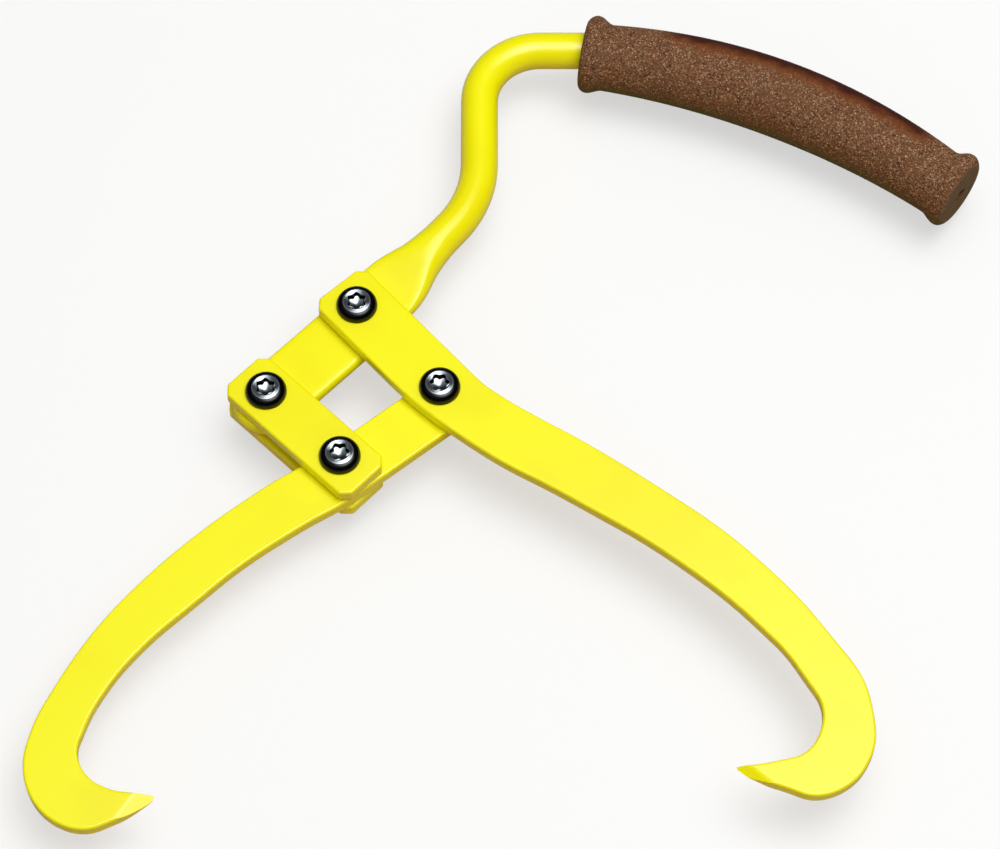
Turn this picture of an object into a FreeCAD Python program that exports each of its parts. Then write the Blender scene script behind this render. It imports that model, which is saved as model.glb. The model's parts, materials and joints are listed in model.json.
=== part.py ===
import FreeCAD, Part
import math
import os

# Log lifting tongs, lying on their back with the screw heads up.
# Two hooked jaws, a pair of links and the flattened end of the handle form a four-bar linkage.
# A bent round bar carries the moulded hand grip.
# Lengths are in millimetres, angles in degrees.

# Linkage: distances between the pins, and how it stands half open
arm_pitch = 42.4
jaw_pitch = 42.0
link_pitch = 35.1
paddle_pitch = 44.6
arm_direction = -48.0
paddle_direction = 228.1

# Plates, in three layers
plate_thickness = 5.0
layer_gap = 0.4
edge_round = 0.9
corner_chamfer = 3.0
corner_round = 1.4

# Right jaw
right_arm_outside = 11.9
right_arm_inside = 10.5
right_arm_end = 10.8
right_reach = 166.0

# Left jaw
left_arm_outside = 7.3
left_arm_inside = 12.6
left_arm_end = 10.0
left_reach = 148.0

# Ground tips of both jaws
tip_thickness = 0.8
bevel_round = 3.0

# Links
link_width = 20.0
link_handle_end = 11.4
link_jaw_end = 12.6

# Handle bar and its flattened end, the paddle
bar_diameter = 13.0
paddle_width = 23.4
paddle_length = 36.0
paddle_axis_direction = 45.4
neck_direction = 50.0
neck_length = 38.0
neck_bend_radius = 40.0
riser_offset = 41.35
riser_start = 61.3
riser_end = 87.5
handle_bend_radius = 21.7
handle_run = 14.0
shoulder_radius = 40.0
shoulder_turn = 11.0

# Grip: its middle line starts a drop below the bar, and its flanges lean towards each other
grip_curve_radius = 226.0
grip_start_gap = 15.1
grip_drop = 2.0
grip_direction = -5.9
grip_lean = 5.5
grip_length = 145.2
grip_middle_diameter = 27.2
grip_neck_diameter = 22.9
grip_flange_diameter = 27.4
grip_flange_width = 3.4
grip_flange_offset = 0.85
grip_flare_length = 5.4
grip_edge_round = 3.0
grip_end_wall = 9.0
dimple_diameter = 5.0
dimple_depth = 1.4

# Pivot screws, washers and self-locking nuts
screw_diameter = 8.0
screw_tail = 4.0
screw_tail_chamfer = 0.8
head_diameter = 14.0
head_height = 3.4
head_rim = 0.6
head_land_diameter = 8.6
head_bulge = 0.7
lobe_count = 6
lobe_diameter = 6.4
lobe_radius = 0.55
lobe_waist_diameter = 4.6
lobe_depth = 2.2
washer_diameter = 16.0
washer_thickness = 1.6
nut_width = 13.0
nut_height = 8.0
nut_hexagon_height = 5.8
nut_corner_chamfer = 0.5
nut_collar_wall = 0.9
ring_depth = 2.2
ring_height = 1.8

# Clearances
pin_clearance = 0.05
thread_clearance = 0.05
turning_gap = 0.1
open_pin_clearance = 1.8

overrun = 2.0
straight_within = 0.05
parallel_within = 0.000001


def plan(distance, direction, start=(0, 0)):
    angle = math.radians(direction)
    return (start[0] + distance * math.cos(angle), start[1] + distance * math.sin(angle))


def vector(point, height=0):
    return FreeCAD.Vector(point[0], point[1], height)


def heading(start, finish):
    return math.degrees(math.atan2(finish[1] - start[1], finish[0] - start[0]))


def circles_meet(centre_a, radius_a, centre_b, radius_b):
    # The crossing of two circles to the left of the way from a to b.
    span = math.hypot(centre_b[0] - centre_a[0], centre_b[1] - centre_a[1])
    along = (radius_a ** 2 - radius_b ** 2 + span ** 2) / (2 * span)
    aside = math.sqrt(radius_a ** 2 - along ** 2)
    way = heading(centre_a, centre_b)
    return plan(aside, way + 90, plan(along, way, centre_a))


# Pins seen from the front, and the plate layers behind each other
hand_pin = (0, 0)
cross_pin = plan(arm_pitch, arm_direction)
link_pin = plan(paddle_pitch, paddle_direction)
jaw_pin = circles_meet(cross_pin, jaw_pitch, link_pin, link_pitch)
left_direction = heading(cross_pin, jaw_pin)
link_direction = heading(link_pin, jaw_pin)

front_top = 0
middle_top = front_top - plate_thickness - layer_gap
middle_axis = middle_top - plate_thickness / 2
middle_back = middle_top - plate_thickness
rear_top = middle_back - layer_gap
rear_back = rear_top - plate_thickness


def line(start, finish):
    return Part.LineSegment(vector(start), vector(finish)).toShape()


def arc(centre, radius, start, finish):
    angles = (start, (start + finish) / 2, finish)
    return Part.Arc(*[vector(plan(radius, angle, centre)) for angle in angles]).toShape()


def through(start, middle, finish):
    return Part.Arc(vector(start), vector(middle), vector(finish)).toShape()


def bend(start, way, finish):
    # The arc that leaves start in a direction and ends at finish.
    chord = heading(start, finish)
    turn = wrapped(chord - way)
    if abs(turn) < straight_within:
        return line(start, finish)
    half_chord = math.dist(start, finish) / 2
    middle = plan(half_chord, chord, start)
    crown = plan(half_chord * math.tan(math.radians(turn / 2)), chord - 90, middle)
    return through(start, crown, finish)


def wrapped(angle):
    return (angle + 180) % 360 - 180


def smooth_edges(points, start_way=None, finish_way=None):
    # Tangent arcs through points, two between each pair.
    chords = [heading(start, finish) for start, finish in zip(points, points[1:])]
    spans = [math.dist(start, finish) for start, finish in zip(points, points[1:])]
    ways = []
    for index in range(1, len(chords)):
        share = spans[index - 1] / (spans[index - 1] + spans[index])
        ways.append(chords[index - 1] + wrapped(chords[index] - chords[index - 1]) * share)
    first = 2 * chords[0] - ways[0] if start_way is None else start_way
    last = 2 * chords[-1] - ways[-1] if finish_way is None else finish_way
    ways = [first] + ways + [last]
    edges = []
    for index, (start, finish) in enumerate(zip(points, points[1:])):
        start_vector = vector(plan(1, ways[index]))
        finish_vector = vector(plan(1, ways[index + 1]))
        chord = vector(finish) - vector(start)
        both = chord.dot(start_vector + finish_vector)
        apart = 2 * (1 - start_vector.dot(finish_vector))
        if apart < parallel_within:
            reach = chord.dot(chord) / (2 * both)
        else:
            reach = (math.sqrt(both ** 2 + apart * chord.dot(chord)) - both) / apart
        joint = (vector(start) + vector(finish) + (start_vector - finish_vector) * reach) * 0.5
        joint = (joint.x, joint.y)
        edges.append(bend(start, ways[index], joint))
        edges.append(bend(finish, ways[index + 1] + 180, joint))
    return edges


def scaled(shares, size):
    return [(along * size, aside * size) for along, aside in shares]


def plate(edges, top):
    # A flat plate below its top face, with the front and back edges rounded.
    face = Part.Face(Part.Wire(edges))
    face.translate(FreeCAD.Vector(0, 0, top - plate_thickness))
    solid = face.extrude(FreeCAD.Vector(0, 0, plate_thickness))
    rims = [edge for edge in solid.Edges if edge.BoundBox.ZLength < edge_round]
    return solid.makeFillet(edge_round, rims)


def drilled(solid, point, radius, top):
    depth = plate_thickness + 2 * overrun
    drill = Part.makeCylinder(radius, depth, vector(point, top - plate_thickness - overrun))
    return solid.cut(drill)


def placed(solid, direction, pin):
    solid.rotate(FreeCAD.Vector(0, 0, 0), FreeCAD.Vector(0, 0, 1), direction)
    solid.translate(vector(pin))
    return solid


def rounded_run(corners, radius):
    # Straight runs with a tangent arc at each corner between them.
    edges = []
    start = corners[0]
    for before, corner, after in zip(corners, corners[1:], corners[2:]):
        way = heading(before, corner)
        turn = wrapped(heading(corner, after) - way)
        setback = radius * math.tan(math.radians(abs(turn) / 2))
        arc_start = plan(-setback, way, corner)
        arc_finish = plan(setback, way + turn, corner)
        edges.append(line(start, arc_start))
        edges.append(bend(arc_start, way, arc_finish))
        start = arc_finish
    edges.append(line(start, corners[-1]))
    return edges


def arm_end(end, low, high, low_start, high_start):
    # Straight sides and chamfered end of an arm, from the high side round to the low side.
    corners = [
        high_start,
        (end + corner_chamfer, high),
        (end, high - corner_chamfer),
        (end, low + corner_chamfer),
        (end + corner_chamfer, low),
        low_start,
    ]
    return rounded_run(corners, corner_round)


bevel_cut_share = 8


def bevelled(solid, start, way, tip, top):
    # Grinds the front and back down towards the tip, from a softened line that crosses the hook.
    along = vector(plan(1, way))
    towards = vector(tip) - vector(start)
    aside = towards - along * towards.dot(along)
    slope = (plate_thickness - tip_thickness) / 2 / aside.Length
    turn = math.atan(slope)
    reach = aside.Length + overrun
    aside.normalize()
    setback = bevel_round * math.tan(turn / 2)
    half_cut = along * bevel_cut_share * plate_thickness
    for side, face_height in ((1, top), (-1, top - plate_thickness)):
        up = FreeCAD.Vector(0, 0, side)
        crossing = vector(start, face_height)
        arc_start = crossing - aside * setback
        arc_centre = arc_start - up * bevel_round
        arc_points = [arc_start]
        for angle in (turn / 2, turn):
            arc_points.append(arc_centre + (aside * math.sin(angle) + up * math.cos(angle)) * bevel_round)
        far = crossing + aside * reach
        corners = [arc_points[-1], far - up * slope * reach, far + up * overrun, arc_start + up * overrun, arc_start]
        wire = Part.Wire([Part.Arc(*arc_points).toShape()] + Part.makePolygon(corners).Edges)
        wedge = Part.Face(wire)
        wedge.translate(-half_cut)
        solid = solid.cut(wedge.extrude(half_cut * 2))
    return solid


# Right jaw. Along runs down the arm from the cross pin, aside to the outside of the hook.
right_outer_shares = [
    (0.037, 0.072),
    (0.108, 0.083),
    (0.182, 0.103),
    (0.271, 0.130),
    (0.416, 0.166),
    (0.670, 0.210),
    (0.888, 0.207),
    (1.065, 0.167),
    (1.154, 0.082),
    (1.168, 0.011),
    (1.145, -0.050),
    (1.082, -0.090),
    (1.002, -0.130),
]
right_inner_shares = [
    (0.995, -0.122),
    (1.037, -0.062),
    (1.063, 0.000),
    (1.039, 0.063),
    (0.921, 0.107),
    (0.790, 0.112),
    (0.569, 0.084),
    (0.360, 0.028),
    (0.165, -0.031),
    (-0.080, -0.063),
]
right_bevel_share = (1.015, -0.103)
right_bevel_way = 8.7


def right_jaw():
    outer = scaled(right_outer_shares, right_reach)
    inner = scaled(right_inner_shares, right_reach)
    outer[0] = (outer[0][0], right_arm_outside)
    inner[-1] = (inner[-1][0], -right_arm_inside)
    edges = arm_end(-arm_pitch - right_arm_end, -right_arm_inside, right_arm_outside, inner[-1], outer[0])
    edges += smooth_edges(inner[::-1], start_way=0)
    edges.append(line(inner[0], outer[-1]))
    edges += smooth_edges(outer[::-1], finish_way=180)
    solid = plate(edges, front_top)
    bevel_start = scaled([right_bevel_share], right_reach)[0]
    solid = bevelled(solid, bevel_start, right_bevel_way, inner[0], front_top)
    for along in (0, -arm_pitch):
        solid = drilled(solid, (along, 0), screw_diameter / 2 + pin_clearance, front_top)
    return placed(solid, arm_direction, cross_pin)


# Left jaw. Along runs down the arm from the jaw pin, aside to the inside of the hook.
left_outer_shares = [
    (0.020, -0.049),
    (0.170, -0.060),
    (0.340, -0.060),
    (0.501, -0.045),
    (0.619, -0.023),
    (0.804, 0.041),
    (0.917, 0.100),
    (0.974, 0.151),
    (1.006, 0.221),
    (1.005, 0.289),
    (0.964, 0.357),
    (0.888, 0.385),
    (0.804, 0.393),
]
left_inner_shares = [
    (0.797, 0.385),
    (0.826, 0.357),
    (0.860, 0.320),
    (0.883, 0.261),
    (0.869, 0.206),
    (0.821, 0.167),
    (0.719, 0.118),
    (0.597, 0.088),
    (0.474, 0.076),
    (0.310, 0.065),
    (0.170, 0.071),
    (0.020, 0.086),
]
left_bevel_share = (0.825, 0.358)
left_bevel_way = 17.8


def left_jaw():
    outer = scaled(left_outer_shares, left_reach)
    inner = scaled(left_inner_shares, left_reach)
    outer[0] = (outer[0][0], -left_arm_outside)
    inner[-1] = (inner[-1][0], left_arm_inside)
    edges = arm_end(-jaw_pitch - left_arm_end, -left_arm_outside, left_arm_inside, outer[0], inner[-1])
    edges += smooth_edges(outer, start_way=0)
    edges.append(line(outer[-1], inner[0]))
    edges += smooth_edges(inner, finish_way=180)
    solid = plate(edges, middle_top)
    bevel_start = scaled([left_bevel_share], left_reach)[0]
    solid = bevelled(solid, bevel_start, left_bevel_way, inner[0], middle_top)
    solid = drilled(solid, (-jaw_pitch, 0), screw_diameter / 2 + pin_clearance, middle_top)
    solid = drilled(solid, (0, 0), screw_diameter / 2 + open_pin_clearance, middle_top)
    return placed(solid, left_direction, jaw_pin)


def link(top):
    half = link_width / 2
    middle_low = (link_pitch / 2, -half)
    middle_high = (link_pitch / 2, half)
    edges = arm_end(-link_handle_end, -half, half, middle_low, middle_high)
    far_edges = arm_end(-link_jaw_end, -half, half, middle_low, middle_high)
    edges += [edge.mirror(vector(middle_low), FreeCAD.Vector(1, 0, 0)) for edge in far_edges[::-1]]
    solid = plate(edges, top)
    for along in (0, link_pitch):
        solid = drilled(solid, (along, 0), screw_diameter / 2 + pin_clearance, top)
    return placed(solid, link_direction, link_pin)


# Handle: the bar's axis, from the flattened neck to its end inside the grip
neck_bend_centre = (riser_offset - neck_bend_radius, riser_start)
neck_end = plan(neck_bend_radius, neck_direction - 90, neck_bend_centre)
handle_bend_centre = (riser_offset + handle_bend_radius, riser_end)
run_start = plan(handle_bend_radius, 90, handle_bend_centre)
run_end = plan(handle_run, 0, run_start)
shoulder_centre = plan(-shoulder_radius, 90, run_end)
shoulder_end = plan(shoulder_radius, 90 - shoulder_turn, shoulder_centre)

# Middle line of the grip, an arc that starts a little below the bar
grip_mouth = (run_start[0] + grip_start_gap, run_start[1] - grip_drop)
grip_centre = plan(grip_curve_radius, grip_direction - 90, grip_mouth)
grip_start = grip_direction + 90
grip_finish = grip_start - math.degrees(grip_length / grip_curve_radius)
bar_finish = grip_finish + math.degrees(grip_end_wall / grip_curve_radius)
bar_end = plan(grip_curve_radius, bar_finish, grip_centre)

# Neck sections: distance back from the bend as a share of the neck, half width between the bar's
# and the paddle's, and height of the hammered flat between the paddle's and the bar's
flat_edge_power = 10
half_section_points = 25
neck_fairing_shares = [0, 0.35, 0.7, 1]
neck_shares = [
    (1.00, 1.00, 0.00),
    (0.86, 1.00, 0.01),
    (0.71, 0.86, 0.24),
    (0.56, 0.55, 0.52),
    (0.44, 0.28, 0.75),
    (0.34, 0.15, 0.94),
    (0.24, 0.06, 1.16),
    (0.12, 0.01, 1.60),
]


def half_section(centre, direction, half_width, flat_height, side):
    # Half of an ellipse as high as the bar, flattened above and below, square to the bar.
    aside = vector(plan(side, direction + 90))
    turns = [math.pi * index / (half_section_points - 1) for index in range(half_section_points)]
    points = []
    for turn in turns:
        across = math.sin(turn) * half_width
        round_height = abs(math.cos(turn)) * bar_diameter / 2
        whole = (round_height ** flat_edge_power + flat_height ** flat_edge_power) ** (1 / flat_edge_power)
        height = math.copysign(round_height * flat_height / whole, math.cos(turn))
        points.append(vector(centre, middle_axis + height) + aside * across)
    spline = Part.BSplineCurve()
    spline.interpolate(Points=points, Parameters=turns, InitialTangent=aside, FinalTangent=-aside)
    return spline.toShape()


def section(centre, direction, half_width, flat_height):
    halves = [half_section(centre, direction, half_width, flat_height, side) for side in (1, -1)]
    return Part.Wire(halves)


def round_section(centre, direction):
    radius = bar_diameter / 2
    halves = []
    for side in (1, -1):
        points = [vector(centre, middle_axis + height) for height in (radius, 0, -radius)]
        points[1] += vector(plan(side * radius, direction + 90))
        halves.append(Part.Arc(*points).toShape())
    return Part.Wire(halves)


def neck_lofts():
    # A level stretch that turns from the paddle's way to the bar's, and the hammered neck.
    bar_half = bar_diameter / 2
    paddle_half = plate_thickness / 2
    paddle_end = plan(paddle_length, paddle_axis_direction, link_pin)
    neck_start = plan(-neck_length, neck_direction, neck_end)
    gap = math.dist(paddle_end, neck_start)
    level = []
    for share in neck_fairing_shares:
        centre = plan(share * gap, heading(paddle_end, neck_start), paddle_end)
        direction = paddle_axis_direction + share * (neck_direction - paddle_axis_direction)
        level.append(section(centre, direction, paddle_width / 2, paddle_half))
    hammered = []
    for back, width_share, height_share in neck_shares:
        centre = plan(-back * neck_length, neck_direction, neck_end)
        half_width = bar_half + width_share * (paddle_width / 2 - bar_half)
        flat_height = paddle_half + height_share * (bar_half - paddle_half)
        hammered.append(section(centre, neck_direction, half_width, flat_height))
    hammered.append(round_section(neck_end, neck_direction))
    return [Part.makeLoft(level, True, False), Part.makeLoft(hammered, True, False)]


def bar():
    # Round bar from the neck up the riser and round into the grip.
    path = Part.Wire([
        arc(neck_bend_centre, neck_bend_radius, neck_direction - 90, 0),
        line((riser_offset, riser_start), (riser_offset, riser_end)),
        arc(handle_bend_centre, handle_bend_radius, 180, 90),
        line(run_start, run_end),
        arc(shoulder_centre, shoulder_radius, 90, 90 - shoulder_turn),
        bend(shoulder_end, -shoulder_turn, bar_end),
    ])
    path.translate(FreeCAD.Vector(0, 0, middle_axis))
    return path.makePipeShell([round_section(neck_end, neck_direction)], True, True)


def handle_bar():
    flat = (paddle_width / 2, plate_thickness / 2)
    start_section = section(link_pin, paddle_axis_direction, *flat)
    paddle = Part.Face(start_section).extrude(vector(plan(paddle_length, paddle_axis_direction)))
    half = half_section(link_pin, paddle_axis_direction, *flat, 1)
    spine = Part.LineSegment(half.Vertexes[0].Point, half.Vertexes[-1].Point).toShape()
    half_face = Part.Face(Part.Wire([half, spine]))
    round_end = half_face.revolve(vector(link_pin), FreeCAD.Vector(0, 0, 1), 180)
    solid = round_end.fuse([paddle, bar()] + neck_lofts()).removeSplitter()
    for pin in (hand_pin, link_pin):
        solid = drilled(solid, pin, screw_diameter / 2 + pin_clearance, middle_top)
    return solid


def flange_rise(distance):
    # 1 over the flange at each end, falling smoothly to 0 beside it.
    nearest = min(distance, grip_length - distance)
    flare = min(1, max(0, 1 - (nearest - grip_flange_width) / grip_flare_length))
    return flare ** 2 * (3 - 2 * flare)


def grip_radius(distance):
    # A flange at each end, a neck beside it and a fuller middle.
    belly = math.sin(math.pi * distance / grip_length)
    neck_radius = grip_neck_diameter / 2
    middle_radius = grip_middle_diameter / 2
    flange_radius = grip_flange_diameter / 2
    rise = flange_rise(distance)
    return neck_radius + (middle_radius - neck_radius) * belly + (flange_radius - neck_radius) * rise


grip_rim_turns = [0, 35, 65, 90]
grip_flare_shares = [0.3, 0.5, 0.7, 1]
grip_body_shares = [0.12, 0.3, 0.5, 0.7, 0.88]


def grip_place(distance):
    # Point of the grip's middle line and the way its section faces.
    # The flanges stand out a little further on the outside of the curve.
    angle = grip_start - math.degrees(distance / grip_curve_radius)
    lean = grip_lean * (2 * distance / grip_length - 1)
    reach = grip_curve_radius + grip_flange_offset * flange_rise(distance)
    point = vector(plan(reach, angle, grip_centre), middle_axis)
    return point, vector(plan(1, angle - 90 + lean))


def grip_loft(stations):
    rings = []
    for distance, rounding in stations:
        centre, way = grip_place(distance)
        rings.append(Part.Wire(Part.makeCircle(grip_radius(distance) - rounding, centre, way)))
    return Part.makeLoft(rings, True, False)


def grip():
    rims = []
    for turn in grip_rim_turns:
        distance = grip_edge_round * (1 - math.cos(math.radians(turn)))
        rims.append((distance, grip_edge_round * (1 - math.sin(math.radians(turn)))))
    flares = [(grip_flange_width + share * grip_flare_length, 0) for share in grip_flare_shares]
    near = rims + flares
    far = [(grip_length - distance, rounding) for distance, rounding in near[::-1]]
    body = [(share * grip_length, 0) for share in grip_body_shares]
    flanges = [grip_loft(near), grip_loft(far)]
    solid = grip_loft([near[-1]] + body + [far[0]]).fuse(flanges).removeSplitter()
    end, way = grip_place(grip_length)
    dimple = Part.makeCylinder(dimple_diameter / 2, dimple_depth + overrun, end - way * dimple_depth, way)
    return solid.cut(bar()).cut(dimple)


def turned(profile):
    # Revolves a profile of radius and height about the upright axis.
    points = [FreeCAD.Vector(radius, 0, height) for radius, height in profile]
    points.append(points[0])
    return Part.Face(Part.makePolygon(points)).revolve(FreeCAD.Vector(0, 0, 0), FreeCAD.Vector(0, 0, 1), 360)


def lobed_recess():
    # Six lobes with tangent hollows between them.
    lobe_reach = lobe_diameter / 2 - lobe_radius
    waist = lobe_waist_diameter / 2
    half_step = 180 / lobe_count
    across = math.cos(math.radians(half_step))
    hollow_radius = (lobe_reach ** 2 + waist ** 2 - 2 * lobe_reach * waist * across - lobe_radius ** 2) / 2
    hollow_radius /= lobe_radius - waist + lobe_reach * across
    hollow_reach = waist + hollow_radius
    edges = []
    for index in range(lobe_count):
        lobe_way = 2 * half_step * index
        hollow_way = lobe_way + half_step
        next_way = hollow_way + half_step
        hollow_centre = plan(hollow_reach, hollow_way)
        centre = plan(lobe_reach, lobe_way)
        next_centre = plan(lobe_reach, next_way)
        start = plan(lobe_radius, heading(centre, plan(hollow_reach, lobe_way - half_step)), centre)
        finish = plan(lobe_radius, heading(centre, hollow_centre), centre)
        following = plan(lobe_radius, heading(next_centre, hollow_centre), next_centre)
        edges.append(through(start, plan(lobe_diameter / 2, lobe_way), finish))
        edges.append(through(finish, plan(waist, hollow_way), following))
    face = Part.Face(Part.Wire(edges))
    face.translate(FreeCAD.Vector(0, 0, head_height - lobe_depth))
    return face.extrude(FreeCAD.Vector(0, 0, lobe_depth + overrun))


def screw(grip_depth):
    # Button head with a six-lobe recess above its seat, and the shank below it.
    length = grip_depth + washer_thickness + nut_height + screw_tail
    shank = screw_diameter / 2
    rim = FreeCAD.Vector(head_diameter / 2, 0, head_rim)
    land = FreeCAD.Vector(head_land_diameter / 2, 0, head_height)
    chord = land - rim
    bulge = FreeCAD.Vector(-chord.z, 0, chord.x).normalize() * -head_bulge
    dome = Part.Arc(rim, rim + chord * 0.5 + bulge, land).toShape()
    corners = [
        land,
        FreeCAD.Vector(0, 0, head_height),
        FreeCAD.Vector(0, 0, -length),
        FreeCAD.Vector(shank - screw_tail_chamfer, 0, -length),
        FreeCAD.Vector(shank, 0, -length + screw_tail_chamfer),
        FreeCAD.Vector(shank, 0, 0),
        FreeCAD.Vector(head_diameter / 2, 0, 0),
        rim,
    ]
    outline = Part.Wire([dome] + Part.makePolygon(corners).Edges)
    solid = Part.Face(outline).revolve(FreeCAD.Vector(0, 0, 0), FreeCAD.Vector(0, 0, 1), 360)
    return solid.cut(lobed_recess())


def washer():
    inside = screw_diameter / 2 + thread_clearance
    outside = washer_diameter / 2
    return turned([(inside, 0), (outside, 0), (outside, -washer_thickness), (inside, -washer_thickness)])


def lock_nut():
    # Hexagon with its corners turned off, and a round collar for the ring.
    corner_radius = nut_width / math.sqrt(3)
    corners = [vector(plan(corner_radius, 60 * index)) for index in range(7)]
    hexagon = Part.Face(Part.makePolygon(corners)).extrude(FreeCAD.Vector(0, 0, -nut_hexagon_height))
    inside = screw_diameter / 2 + thread_clearance
    ring_outside = nut_width / 2 - nut_collar_wall
    chamfer_radius = nut_width / 2
    turned_blank = turned([
        (inside, 0),
        (chamfer_radius, 0),
        (corner_radius, -nut_corner_chamfer),
        (corner_radius, -nut_hexagon_height + nut_corner_chamfer),
        (chamfer_radius, -nut_hexagon_height),
        (inside, -nut_hexagon_height),
    ])
    collar_outside = nut_width / 2 - nut_corner_chamfer
    collar = turned([
        (inside, -nut_hexagon_height),
        (collar_outside, -nut_hexagon_height),
        (collar_outside, -nut_height + nut_corner_chamfer),
        (collar_outside - nut_corner_chamfer, -nut_height),
        (ring_outside, -nut_height),
        (ring_outside, -nut_height + ring_depth),
        (inside, -nut_height + ring_depth),
    ])
    return hexagon.common(turned_blank).fuse(collar).removeSplitter()


def nut_ring():
    inside = screw_diameter / 2 + thread_clearance
    outside = nut_width / 2 - nut_collar_wall
    top = -nut_height + ring_depth
    return turned([(inside, top), (outside, top), (outside, top - ring_height), (inside, top - ring_height)])


def fasteners(name, pin, back, gap):
    # Screw, washer, nut and nut ring of one pivot; the plates end at back, the washer gap below.
    seat = back - gap
    pieces = {
        name + "_screw": (screw(front_top - seat), front_top),
        name + "_washer": (washer(), seat),
        name + "_nut": (lock_nut(), seat - washer_thickness),
        name + "_nut_ring": (nut_ring(), seat - washer_thickness),
    }
    for solid, height in pieces.values():
        solid.translate(vector(pin, height))
    return {node: solid for node, (solid, height) in pieces.items()}


def build():
    nodes = {
        "handle_bar": handle_bar(),
        "grip": grip(),
        "right_jaw": right_jaw(),
        "left_jaw": left_jaw(),
        "front_link": link(front_top),
        "rear_link": link(rear_top),
    }
    nodes.update(fasteners("hand_pivot", hand_pin, middle_back, turning_gap))
    nodes.update(fasteners("cross_pivot", cross_pin, middle_back, turning_gap))
    nodes.update(fasteners("link_pivot", link_pin, rear_back, 0))
    nodes.update(fasteners("jaw_pivot", jaw_pin, rear_back, 0))
    return nodes


def origin(nodes):
    # The middle of the footprint, on the surface that the tongs lie on.
    box = Part.makeCompound(list(nodes.values())).optimalBoundingBox(False)
    return FreeCAD.Vector((box.XMin + box.XMax) / 2, (box.YMin + box.YMax) / 2, box.ZMin)


def main():
    nodes = build()
    shift = -origin(nodes)
    os.makedirs("parts", exist_ok=True)
    for node, solid in nodes.items():
        solid.translate(shift)
        solid.exportStep(os.path.join("parts", node + ".step"))
        print(node, "valid" if solid.isValid() else "INVALID", len(solid.Solids), round(solid.Volume))
    print("origin moved by", [round(value, 3) for value in shift])


main()
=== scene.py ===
import json
import math

import bmesh
import bpy
from mathutils import Matrix, Vector


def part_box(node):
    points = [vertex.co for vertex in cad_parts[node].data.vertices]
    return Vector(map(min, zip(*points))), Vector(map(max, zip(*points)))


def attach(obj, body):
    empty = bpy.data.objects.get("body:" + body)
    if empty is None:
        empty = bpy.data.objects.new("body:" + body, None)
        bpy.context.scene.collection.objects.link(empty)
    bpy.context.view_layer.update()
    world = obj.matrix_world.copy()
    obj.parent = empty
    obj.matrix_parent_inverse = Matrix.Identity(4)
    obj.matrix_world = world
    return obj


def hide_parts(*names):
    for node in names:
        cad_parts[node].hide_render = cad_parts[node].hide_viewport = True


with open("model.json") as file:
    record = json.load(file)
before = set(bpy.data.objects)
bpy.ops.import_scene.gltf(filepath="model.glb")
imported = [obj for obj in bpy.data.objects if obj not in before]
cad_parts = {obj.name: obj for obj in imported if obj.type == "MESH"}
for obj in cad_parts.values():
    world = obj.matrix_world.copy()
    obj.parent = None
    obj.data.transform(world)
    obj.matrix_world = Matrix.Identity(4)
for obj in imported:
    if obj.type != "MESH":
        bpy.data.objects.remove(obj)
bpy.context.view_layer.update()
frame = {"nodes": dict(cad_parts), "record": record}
print("frame loaded:", len(frame["nodes"]), "nodes")

mm = 0.001
mounts = {mount["name"]: mount for mount in frame["record"]["mounts"]}
# The body that each pivot's screw rides on
pivots = {"hand": "right_jaw", "cross": "right_jaw", "link": "links", "jaw": "links"}


# Camera, floor and lights

studio = {
    "aim": (-7.52, -12.53, 29.4),  # mm, the middle of the pivots' front face
    "elevation": 62,  # degrees
    "distance": 1166.7,  # mm
    "lens": 126,
    "sensor": 36,
    "farClip": 50,  # m
    "floorSize": 6000,  # mm
    "floorGap": 0.2,  # mm below the screw tails
    "floorColour": "#FAFAF9",
    "floorGlow": 0.6,  # share of the floor that shows without shadow
    "floorBounce": "#C79F3C",  # what the floor gives back to the sides of the tongs, warmed by their paint
    "floorMirrored": "#A2A2A0",  # what the floor gives to reflections
    "softbox": 2300,  # mm, round, bright at its middle and fading to its edge
    "softboxPlace": (370, -30, 1800),
    "softboxGlow": 7.3,
    "zenith": 0.35,
    "horizon": 0.28,
    "flagged": 0.03,  # what reflections see of the sky's sides, kept dark by black flags
    "flagsFrom": 0.95,  # height of the direction where the flags begin, and where they are full
    "flagsFull": 0.6,
}


def linear(hexColour):
    # sRGB hex to the linear colour that a socket takes
    channels = [int(hexColour[place:place + 2], 16) / 255 for place in (1, 3, 5)]
    return [c / 12.92 if c <= 0.04045 else ((c + 0.055) / 1.055) ** 2.4 for c in channels] + [1]


def addNode(tree, kind, inputs=None, stops=(), **settings):
    # One node with its settings, a colour ramp's stops, and its inputs as links or values
    node = tree.nodes.new(kind)
    for name, value in settings.items():
        setattr(node, name, value)
    for index, (place, colour) in enumerate(stops):
        elements = node.color_ramp.elements
        element = elements[index] if index < len(elements) else elements.new(place)
        element.position = place
        element.color = linear(colour)
    for name, value in (inputs or {}).items():
        if isinstance(value, bpy.types.NodeSocket):
            tree.links.new(value, node.inputs[name])
        else:
            node.inputs[name].default_value = value
    return node


def newMaterial(name):
    material = bpy.data.materials.new(name)
    material.use_nodes = True
    material.node_tree.nodes.clear()
    return material, material.node_tree


def link(thing):
    bpy.context.scene.collection.objects.link(thing)
    return thing


def makeCamera():
    data = bpy.data.cameras.new("camera")
    data.lens = studio["lens"]
    data.sensor_width = studio["sensor"]
    data.clip_end = studio["farClip"]
    camera = link(bpy.data.objects.new("camera", data))
    tilt = math.radians(studio["elevation"])
    back = Vector((0, -math.cos(tilt), math.sin(tilt)))
    camera.location = (Vector(studio["aim"]) + back * studio["distance"]) * mm
    camera.rotation_euler = (math.pi / 2 - tilt, 0, 0)
    bpy.context.scene.camera = camera


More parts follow.
